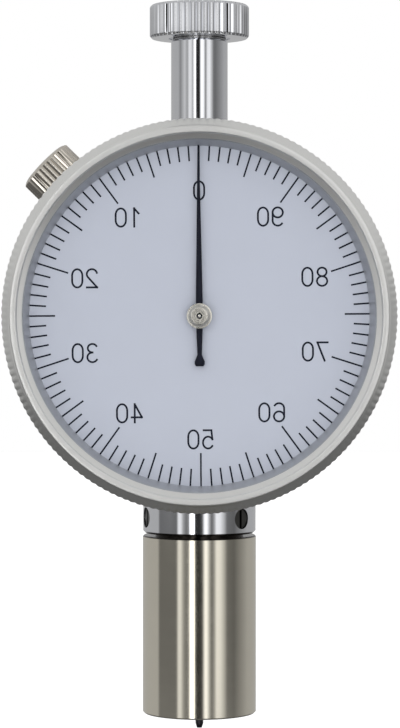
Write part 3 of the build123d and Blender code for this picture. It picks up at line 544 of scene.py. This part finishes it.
# %% Turn the bezel
glass_front = -low("crystal").y / mm
bezel_front = -low("bezel").y / mm
bezel_back = -high("bezel").y / mm
rim = (high("bezel").x - low("bezel").x) / 2 / mm
bead_out = rim - 1.25
bead_in = bead_out - 1.2
lip = bead_in - 0.85
pocket = lip + 0.48
knurls = 170
knurl_depth = 0.12
bezel_profile = [
    (pocket, bezel_back, 0.0),
    (rim - 0.25, bezel_back, 0.1),
    (rim, bezel_back + 0.35, 0.15),
    (rim, bezel_front - 1.95, 0.2),
    (bead_out + 0.12, bezel_front - 0.82, 0.12),
    (bead_out, bezel_front - 0.60, 0.05),
    (bead_out, bezel_front, 0.38),
    (bead_in, bezel_front, 0.24),
    (bead_in - 0.02, bezel_front - 0.45, 0.1),
    (lip, glass_front + 0.12, 0.06),
    (lip, glass_front, 0.0),
    (pocket, glass_front, 0.0),
]
shape = lathe(bezel_profile, steps=knurls * 8, slices=10)
ridges(shape, knurls, knurl_depth, above=rim - 0.3, full=rim - 0.05, sharpness=0.7)
bezel = into_scene("bezel_ring_knurled", shape, "bezel_satin", to_dial)
stands_for(bezel, "bezel")

# %% [markdown]
# ## The pane and the ring under it
#
# The pane is a plain disc with a ground edge, and below it a conical wall in satin metal leads the eye
# down to the dial. A cylinder would do for the pane, but its ground edge catches the light, so both come
# off the lathe. Large round edges get 256 steps, so that none shows a corner.

# %% Pane and wall
glass_r = (high("crystal").x - low("crystal").x) / 2 / mm
glass_back = -high("crystal").y / mm
face = face_forward / mm
disc_steps = 256
disc_slices = 16
pane_profile = [
    (0, glass_back, 0),
    (glass_r, glass_back, 0.08),
    (glass_r, glass_front, 0.08),
    (0, glass_front, 0),
]
shape = lathe(pane_profile, disc_steps, disc_slices, closed=False)
glass = into_scene("crystal_pane", shape, "crystal_glass", to_dial)
stands_for(glass, "crystal")

wall_in = glass_r - 1.4
wall_profile = [
    (wall_in, face, 0),
    (glass_r, face, 0),
    (glass_r, glass_back, 0),
    (lip - 0.05, glass_back, 0.1),
]
shape = lathe(wall_profile, disc_steps, disc_slices)
wall = into_scene("wall_ring", shape, "ring_satin", to_dial)
stands_for(wall, "spacer_ring")

# %% [markdown]
# ## The dial plate
#
# The plate is a thin disc with a hole for the arbor. The hole could be cut with a Boolean, but the lathe
# gives it for nothing, because a profile that starts at a radius leaves a hole of that radius.

# %% Dial plate
plate_back = -high("dial_plate").y / mm
plate_hole_r = 1.0
plate_profile = [
    (plate_hole_r, plate_back, 0),
    (glass_r, plate_back, 0),
    (glass_r, face, 0),
    (plate_hole_r, face, 0.05),
]
shape = lathe(plate_profile, disc_steps, disc_slices)
plate = into_scene("dial_disc", shape, "dial_paint", to_dial)
stands_for(plate, "dial_plate")

# %% [markdown]
# ## The scale
#
# The scale has a hundred divisions, so the print is a hundred thin bars, longer at every fifth and
# longest at every tenth, which is a loop. A picture of the print would blur in a close view, and bars
# stay sharp. The print is drawn the usual way round on a flat sheet, and `mirror_written` then turns that
# sheet over, because on this tester the scale runs to the left. Setting it to False gives the usual dial.
# Angles are in degrees and lengths in millimetres.

# %% Ticks of the scale
mirror_written = True
scale_turn = 0.38
ink_height = 0.012
tick_outer = 26.6
tick_width = 0.26
tick_inner = {1: 23.90, 5: 22.46, 10: 21.43}
print_drift = Vector((0.08, 0.16, 0)) * mm


def print_sheet(flat):
    """Turns a flat print over if it is mirror-written and lays it on the dial, a hair off true."""
    side = Matrix.Scale(-1, 4, (1, 0, 0)) if mirror_written else Matrix()
    turn = Matrix.Rotation(math.radians(scale_turn), 4, "Z")
    rest = Matrix.Translation(Vector((0, 0, face_forward)) + print_drift)
    bmesh.ops.transform(flat, matrix=to_dial @ rest @ turn @ side, verts=flat.verts[:])
    bmesh.ops.recalc_face_normals(flat, faces=flat.faces[:])


sheet = bmesh.new()
for number in range(100):
    inner = tick_inner[10 if number % 10 == 0 else 5 if number % 5 == 0 else 1]
    middle = (tick_outer + inner) / 2 * mm
    size = Matrix.Diagonal((tick_width * mm, (tick_outer - inner) * mm, ink_height * mm, 1))
    turn = Matrix.Rotation(-math.tau * number / 100, 4, "Z")
    bmesh.ops.create_cube(sheet, size=1.0, matrix=turn @ Matrix.Translation((0, middle, 0)) @ size)
print_sheet(sheet)
ticks = into_scene("scale_ticks", sheet, "dial_ink")
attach(ticks, body_of["dial_plate"])

# %% [markdown]
# ## The figures
#
# The figures are of the kind that an engraver's pen follows: bars and arcs of one width. Blender's own
# type has other shapes, so each digit is a few strokes in a box, and one pen draws them all. A stroke is a
# curve with a round wire on it, and the lot is pressed flat as ink.

# %% Strokes of the figures
digit_height = 3.13
digit_width = 1.89
digit_pitch = 2.28
stroke = 0.30
half_wide = (digit_width - stroke) / 2
half_high = (digit_height - stroke) / 2


def oval(y, across, up, start, end):
    """Points on an oval round (0, y). Angles are in degrees, anticlockwise from the right."""
    steps = math.ceil(abs(end - start) / 15)
    angles = [math.radians(start + (end - start) * step / steps) for step in range(steps + 1)]
    return [(across * math.cos(angle), y + up * math.sin(angle)) for angle in angles]


# Each digit fills a box from (-1, -1) to (1, 1).
strokes = {
    "0": [oval(0.3, 1, 0.7, 0, 180) + oval(-0.3, 1, 0.7, 180, 360) + [(1, 0.3)]],
    "1": [[(-0.6, 0.45), (0.26, 1)], [(0.26, 1), (0.26, -1)]],
    "2": [oval(0.45, 1, 0.55, 165, -30) + [(-1, -1)], [(-1, -1), (1, -1)]],
    "3": [oval(0.53, 0.9, 0.47, 150, -90), oval(-0.47, 1, 0.53, 90, -150)],
    "4": [[(0.4, -1), (0.4, 1)], [(0.4, 1), (-1, -0.45)], [(-1, -0.45), (1, -0.45)]],
    "5": [[(0.85, 1), (-0.65, 1)], [(-0.65, 1), (-0.84, 0)], oval(-0.35, 1, 0.65, 147, -145)],
    "6": [oval(0.45, 1, 0.55, 35, 180) + [(-1, -0.45)], oval(-0.45, 1, 0.55, 0, 360)],
    "7": [[(-1, 1), (1, 1)], [(1, 1), (-0.38, -1)]],
    "8": [oval(0.53, 0.88, 0.47, 0, 360), oval(-0.47, 1, 0.53, 0, 360)],
}
strokes["9"] = [[(-x, -y) for x, y in points] for points in strokes["6"]]
print("digits drawn with a pen:", "".join(sorted(strokes)))

# %% Figures of the scale
figure_r = {number: 19.31 if number in (0, 50) else 18.77 for number in range(0, 100, 10)}
pen = bpy.data.curves.new("pen", "CURVE")
pen.dimensions = "3D"
pen.bevel_depth = stroke / 2 * mm
pen.bevel_resolution = 1
pen.use_fill_caps = True


def draw_stroke(points, centre):
    """One stroke of the pen about a centre, run on by half its width at both ends."""
    path = [centre + Vector((x * half_wide, y * half_high, 0)) * mm for x, y in points]
    path.insert(0, path[0] + (path[0] - path[1]).normalized() * stroke / 2 * mm)
    path.append(path[-1] + (path[-1] - path[-2]).normalized() * stroke / 2 * mm)
    spline = pen.splines.new("POLY")
    spline.points.add(len(path) - 1)
    for point, spot in zip(spline.points, path):
        point.co = (*spot, 1.0)


for number, radius in figure_r.items():
    clockwise = math.tau * number / 100
    spot = Vector((math.sin(clockwise), math.cos(clockwise), 0)) * radius
    for place, character in enumerate(str(number)):
        shift = (place - (len(str(number)) - 1) / 2) * digit_pitch
        for points in strokes[character]:
            draw_stroke(points, (spot + Vector((shift, 0, 0))) * mm)

holder = bpy.data.objects.new("pen", pen)
bpy.context.scene.collection.objects.link(holder)
drawn = bpy.data.meshes.new_from_object(holder)
sheet = bmesh.new()
sheet.from_mesh(drawn)
bpy.data.objects.remove(holder)
bpy.data.curves.remove(pen)
bpy.data.meshes.remove(drawn)
bmesh.ops.scale(sheet, vec=(1, 1, ink_height / stroke), verts=sheet.verts[:])
print_sheet(sheet)
figures = into_scene("scale_figures", sheet, "dial_ink")
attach(figures, body_of["dial_plate"])

# %% [markdown]
# ## The pointer
#
# The pointer is stamped from thin steel, tapered to the tip, with a small square counterweight. It is made
# as a stamped part is: a flat outline is filled and given its thickness, and its edges are broken. Both
# halves of the outline are alike, so only one is written down.

# %% Pointer
pointer_back = -high("pointer").y / mm
pointer_front = -low("pointer").y / mm
pointer_lean = 0.4
tip_reach = (high("pointer").z - dial_z) / mm
tail_reach = (dial_z - low("pointer").z) / mm
half_outline = [
    (0.12, tip_reach),
    (0.58, 0.0),
    (0.35, 1.8 - tail_reach),
    (0.60, 1.15 - tail_reach),
    (0.79, 0.75 - tail_reach),
    (0.79, 0.35 - tail_reach),
    (0.60, -tail_reach),
]
outline = half_outline + [(-x, y) for x, y in reversed(half_outline)]
shape = bmesh.new()
rim_verts = [shape.verts.new((x * mm, y * mm, pointer_back * mm)) for x, y in outline]
blade = shape.faces.new(rim_verts)
raised = bmesh.ops.extrude_face_region(shape, geom=[blade])
top_verts = [item for item in raised["geom"] if isinstance(item, bmesh.types.BMVert)]
bmesh.ops.translate(shape, verts=top_verts, vec=(0, 0, (pointer_front - pointer_back) * mm))
bmesh.ops.recalc_face_normals(shape, faces=shape.faces[:])
broken_edge = 0.04 * mm
bmesh.ops.bevel(
    shape,
    geom=shape.edges[:],
    offset=broken_edge,
    offset_type="OFFSET",
    segments=2,
    profile=0.5,
    affect="EDGES",
    material=-1,
)
lean = Matrix.Rotation(math.radians(pointer_lean), 4, "Z")
pointer = into_scene("pointer_blade", shape, "pointer_black", to_dial @ lean)
stands_for(pointer, "pointer")

# %% [markdown]
# ## The hub
#
# The hub is turned: a thin flange, a coned boss, and the riveted end of the arbor in a small countersink.
# Stacked cylinders would have no cone and no soft edges to catch the light, so it gets a profile too.

# %% Hub
hub_back = -high("pointer_hub").y / mm
hub_front = -low("pointer_hub").y / mm
flange_front = pointer_front + 0.16
neck_front = hub_back + 0.38
arbor_r = 0.5
lower_flange_r = 1.6
neck_r = 0.9
cap_r = 1.975
hub_profile = [
    (arbor_r, hub_back, 0),
    (lower_flange_r, hub_back, 0.05),
    (lower_flange_r, neck_front, 0.05),
    (neck_r, neck_front, 0),
    (neck_r, pointer_front + 0.02, 0),
    (cap_r, pointer_front + 0.02, 0.04),
    (cap_r, flange_front, 0.05),
    (1.72, flange_front, 0.05),
    (1.27, hub_front, 0.08),
    (0.46, hub_front, 0.03),
    (0.25, hub_front - 0.12, 0),
    (0.0, hub_front - 0.06, 0),
    (0.0, hub_front - 0.1, 0),
    (arbor_r, hub_front - 0.14, 0),
]
shape = lathe(hub_profile, steps=96, slices=8)
hub = into_scene("pointer_hub_turned", shape, "hub_nickel", to_dial)
stands_for(hub, "pointer_hub")

# %% [markdown]
# ## The cap
#
# The cap is chromed, with crisp edges, and it is hollow underneath, where its washer sits. It is turned
# first and then knurled, as in a workshop. Ten steps for each ridge are enough to draw the wave.

# %% Cap
knob_low = low("top_knob").z / mm
knob_high = high("top_knob").z / mm
knob_r = (high("top_knob").x - low("top_knob").x) / 2 / mm
cap_ridges = 48
cap_ridge_depth = 0.3
recess_r = 4.9
recess_top = high("knob_washer").z / mm + 0.05
cap_corners = [
    (0, recess_top, 0),
    (recess_r, recess_top, 0),
    (recess_r, knob_low, 0),
    (knob_r - 0.35, knob_low, 0.06),
    (knob_r, knob_low + 0.35, 0.1),
    (knob_r, knob_high - 0.35, 0.1),
    (knob_r - 0.35, knob_high, 0.1),
    (0, knob_high, 0),
]
shape = lathe(cap_corners, steps=cap_ridges * 10, slices=12, closed=False)
ridges(shape, cap_ridges, cap_ridge_depth, above=knob_r - 0.3, full=knob_r - 0.1, sharpness=0.6)
cap = into_scene("top_cap_knurled", shape, "chrome_bar")
stands_for(cap, "top_knob")

# %% [markdown]
# ## The clamp knob
#
# The clamp knob is plain nickel with a domed end, and it points out of the case at its own angle. A
# slanted profile would be hard to write and to read, so the knob is turned upright and swung into place.

# %% Clamp knob
clamp_low = low("clamp_knob")
clamp_high = high("clamp_knob")
clamp_angle = 135.6
clamp_forward = -(clamp_low.y + clamp_high.y) / 2
clamp_r = (clamp_high.y - clamp_low.y) / 2 / mm
clamp_ridges = 32
clamp_ridge_depth = 0.24
clamp_inner = 29.3
clamp_length = 4.55
clamp_corner = clamp_inner + clamp_length
screw_r = 1.5
clamp_profile = [
    (screw_r, clamp_inner - 1.5, 0),
    (screw_r, clamp_inner, 0),
    (clamp_r - 0.3, clamp_inner, 0.05),
    (clamp_r, clamp_inner + 0.3, 0.08),
    (clamp_r, clamp_corner, 0.12),
    (clamp_r - 0.75, clamp_corner + 0.42, 0.3),
    (clamp_r / 2, clamp_corner + 0.60, 0.3),
    (0, clamp_corner + 0.65, 0),
]
shape = lathe(clamp_profile, steps=clamp_ridges * 10, slices=8, closed=False)
ridges(shape, clamp_ridges, clamp_ridge_depth, above=clamp_r - 0.2, full=clamp_r - 0.1, sharpness=0.6)
tilt = Matrix.Rotation(math.radians(90 - clamp_angle), 4, "Y")
swing = Matrix.Translation((0, -clamp_forward, dial_z)) @ tilt
clamp = into_scene("clamp_knob_knurled", shape, "knob_nickel", swing)
stands_for(clamp, "clamp_knob")

# %% [markdown]
# ## Pieces whose solids are already right
#
# The case, stem, collar and foot are true in their solids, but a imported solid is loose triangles, and
# each would shine as a facet. A copy is merged into one skin and shaded smooth across shallow edges, and
# stands for the solid. The foot's lower edge is nearly sharp on the real piece, so the copy's chamfer is
# drawn towards the corner.

# %% Smooth skins
foot_r = high("foot").x
foot_chamfer = 0.8 * mm
foot_edge_share = 0.3
just_over = 1.01
skin_sharp = 28


def finer_foot_edge(shape):
    """Draws the two rings of the foot's lower chamfer towards the corner."""
    for vert in shape.verts:
        radius = math.hypot(vert.co.x, vert.co.y)
        if vert.co.z < foot_chamfer * just_over and radius > foot_r - foot_chamfer * just_over:
            drawn = foot_r - (foot_r - radius) * foot_edge_share
            vert.co.x *= drawn / radius
            vert.co.y *= drawn / radius
            vert.co.z *= foot_edge_share


def smooth_skin(node, shaping=None):
    """A merged and smoothly shaded copy of a solid stands for it."""
    shape = bmesh.new()
    shape.from_mesh(frame["nodes"][node].data)
    bmesh.ops.remove_doubles(shape, verts=shape.verts[:], dist=smallest_gap)
    if shaping:
        shaping(shape)
    stands_for(into_scene(node + "_skin", shape, slot_of[node], sharp=skin_sharp), node)


smooth_skin("foot", shaping=finer_foot_edge)
for node in ("case", "back_cover", "back_cover_screws", "stem", "collar", "collar_screws", "indenter"):
    smooth_skin(node)

# %% [markdown]
# ## The main spring
#
# The spring sits out of sight in the foot and must shorten as the point is pressed in. A curve with a
# round bevel could draw it, but the spin operator can climb as it turns, so a circle of wire becomes a
# helix in one call.

# %% Main spring
spring_low = low("main_spring").z
spring_high = high("main_spring").z
spring_r = (high("main_spring").x - low("main_spring").x) / 2
wire_r = 0.42 * mm
turns = 7
steps_per_turn = 36
wire_sides = 12
climb = (spring_high - spring_low - 2 * wire_r) / (turns * steps_per_turn)
shape = bmesh.new()
upright = Matrix.Rotation(math.radians(90), 4, "X")
stand = Matrix.Translation((spring_r - wire_r, 0, spring_low + wire_r)) @ upright
bmesh.ops.create_circle(shape, cap_ends=False, segments=wire_sides, radius=wire_r, matrix=stand)
spin_about_z(shape, math.tau * turns, turns * steps_per_turn, duplicate=False, climb=climb)
ends = [edge for edge in shape.edges if edge.is_boundary]
bmesh.ops.holes_fill(shape, edges=ends, sides=wire_sides)
bmesh.ops.recalc_face_normals(shape, faces=shape.faces[:])
spring = into_scene("main_spring_wire", shape, "spring_steel")
stands_for(spring, "main_spring")
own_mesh(spring)

# %% [markdown]
# ## Finishes for the hidden solids
#
# The movement keeps its solids. Each takes the finish of its slot: brass plates and wheels, steel arbors,
# dark screws.

# %% Dress the solids
for node, solid in frame["nodes"].items():
    solid.data.materials.clear()
    solid.data.materials.append(finishes[slot_of[node]])
print("solids dressed:", len(frame["nodes"]))

# %% [markdown]
# ## The tent
#
# Polished metal shows the room, so the room is what the eye reads as chrome. Around the tester stands a
# wide tent, seen in reflections only: tall bright panels each side of the dark gap where the viewer is,
# grey flags beside them, an even roof and a dim ground. Lamps could do the panels, but every flag would be
# one more lamp or card to place. Two rows of stops say how bright the tent is round the horizon instead,
# just above it and just below it.

# %% Tent for reflections
room_centre = Vector((0, 0, 0.06))
below_horizon = [
    (-180, 0.44), (-93, 0.43), (-89, 0.15), (-47, 0.14), (-43, 0.90), (-38, 0.85), (-33, 0.35), (-27, 0.16),
    (-21, 0.25), (-17, 2.60), (-11, 2.60), (-9, 0.03), (6, 0.03), (9, 0.70), (12, 1.40), (16, 1.10),
    (20, 0.45), (25, 0.12), (31, 0.40), (35, 1.00), (43, 0.90), (52, 0.48), (58, 0.16), (75, 0.12),
    (85, 0.20), (115, 0.40), (180, 0.44),
]
above_horizon = [
    (-180, 0.44), (-96, 0.43), (-84, 0.26), (-62, 0.62), (-50, 0.36), (-41, 0.90), (-33, 0.80), (-27, 0.45),
    (-23, 0.70), (-20, 2.40), (-16, 2.40), (-13, 0.02), (1, 0.02), (5, 0.90), (8, 1.50), (16, 1.20),
    (21, 0.60), (26, 0.22), (32, 0.90), (42, 1.00), (51, 0.55), (60, 0.18), (68, 0.16), (90, 0.26),
    (120, 0.40), (180, 0.44),
]
# Brightness by height away from the horizon: -1 is straight down, 1 is straight up.
far_from_horizon = [(-1.0, 0.12), (-0.28, 0.12), (-0.2, 0.30), (-0.12, 0.48), (0.12, 0.52), (1.0, 0.50)]
panel_edge = 18
panel_fade = 8
# Heights as shares of the way up: where the walls end, and how much taller the panels are.
wall_height = 0.1
panel_rise = 0.2
# How fast one row turns into the other at the horizon, and the walls into the roof and the ground.
row_blend = 8
roof_blend = 12
tent_r = 3.0


def round_the_horizon(stops):
    """Stops in degrees from straight ahead of the dial, as places on a ramp."""
    return [((angle + 180) / 360, value) for angle, value in stops]


def tent_material():
    """Light that changes with the direction from the room's centre."""
    finish = Finish("studio_tent")
    x, y, z = finish.place()
    rise = z - room_centre.z
    away = (x * x + y * y).math("SQRT")
    round_about = x.math("ARCTAN2", y * -1.0) / math.tau + 0.5
    height = rise.math("ARCTAN2", away) / math.radians(90)
    low_row = finish.ramp(round_about, round_the_horizon(below_horizon))
    high_row = finish.ramp(round_about, round_the_horizon(above_horizon))
    walls = finish.mix((height * row_blend + 0.5).between(), low_row, high_row)
    far = finish.ramp(height * 0.5 + 0.5, [((place + 1) / 2, value) for place, value in far_from_horizon])
    aside = (round_about - 0.5).math("ABSOLUTE") * 360
    panels = ((panel_edge + panel_fade - aside) / panel_fade).between()
    far_share = ((height.math("ABSOLUTE") - wall_height - panels * panel_rise) * roof_blend).between()
    whole = finish.mix(far_share, walls, far)
    glow = finish.node("Emission", {}, {"Color": whole, "Strength": 1.0})
    finish.node("OutputMaterial", {}, {"Surface": glow})
    return finish.material


tent_shape = bmesh.new()
bmesh.ops.create_uvsphere(tent_shape, u_segments=64, v_segments=32, radius=tent_r)
finishes["studio_tent"] = tent_material()
tent = into_scene("studio_tent", tent_shape, "studio_tent", Matrix.Translation(room_centre))
tent.visible_camera = False
tent.visible_diffuse = False
tent.visible_transmission = False
tent.visible_volume_scatter = False
tent.visible_shadow = False

# %% [markdown]
# ## The floor
#
# A wide disc of pale paper lies a little under the point. A plane would show its corners from above. The
# metal doesn't mirror the paper, because the tent already has the ground that its reflections need.

# %% Floor
floor_gap = 30 * mm
floor_r = 1.5
paper_cloud = 60 * mm
floor_z = low("indenter").z - floor_gap
floor_shape = bmesh.new()
bmesh.ops.create_circle(floor_shape, cap_ends=True, segments=96, radius=floor_r)
floor_finish = Finish("studio_floor")
soft = grain(floor_finish, paper_cloud)
paper = floor_finish.mix(soft, grey(0.88), grey(0.92))
finishes["studio_floor"] = floor_finish.surface({"Base Color": paper, "Roughness": 0.9})
floor = into_scene("studio_floor", floor_shape, "studio_floor", Matrix.Translation((0, 0, floor_z)))
floor.visible_glossy = False

# %% [markdown]
# ## The world
#
# Paint isn't lit by the tent but by the world, which is brighter above than below, as a lit room is. Soft
# area lamps could do the same with more noise. A ray from the camera, or one through glass or off a mirror,
# finds plain white there, so the background is white and the object's light stays as it is.

# %% World
world = bpy.data.worlds.new("studio_world")
bpy.context.scene.world = world
world.use_nodes = True
sky = Finish("world", world.node_tree)
direction = sky.node("TexCoord", {}, {}, "Generated")
up = sky.node("SeparateXYZ", {}, {"Vector": direction}, 2)
light_below = 0.40
light_above = 1.50
light = sky.mix(up * 0.5 + 0.5, grey(light_below), grey(light_above))
seen = sky.node("LightPath", {}, {}, "Is Camera Ray")
mirrored = sky.node("LightPath", {}, {}, "Is Glossy Ray")
through = sky.node("LightPath", {}, {}, "Is Transmission Ray")
white_share = (seen + mirrored + through).math("MINIMUM", 1.0)
whole_sky = sky.mix(white_share, light, grey(1.0))
backdrop = sky.node("Background", {}, {"Color": whole_sky, "Strength": 1.0})
sky.node("OutputWorld", {}, {"Surface": backdrop})
print("the world lights with", light_below, "from below to", light_above, "from above")

# %% [markdown]
# ## The camera
#
# The camera looks level at the tester from arm's length, so near pieces look a little larger than far ones.
# Its lens is given as a distance in pixels of a 400 by 728 frame and turned into millimetres. Shift moves
# the frame and leaves the camera level, where a tilt would make the stem lean.

# %% Camera
lens_px = 2605
frame_w = 400
frame_h = 728
horizon_px = 325
axis_px = 199.4
camera_away = 0.415
camera_up = 0.0616
camera_data = bpy.data.cameras.new("portrait_camera")
camera_data.sensor_fit = "HORIZONTAL"
camera_data.sensor_width = 36
camera_data.lens = lens_px / frame_w * camera_data.sensor_width
camera_data.shift_x = (frame_w / 2 - axis_px) / frame_w
camera_data.shift_y = (horizon_px - frame_h / 2) / frame_w
camera = bpy.data.objects.new("portrait_camera", camera_data)
camera.location = (0, -camera_away, camera_up)
camera.rotation_euler = (math.radians(90), 0, 0)
bpy.context.scene.collection.objects.link(camera)
bpy.context.scene.camera = camera
bpy.context.scene.view_settings.view_transform = "Standard"
print("camera lens:", round(camera_data.lens, 1), "mm, seen from", camera_away, "m")
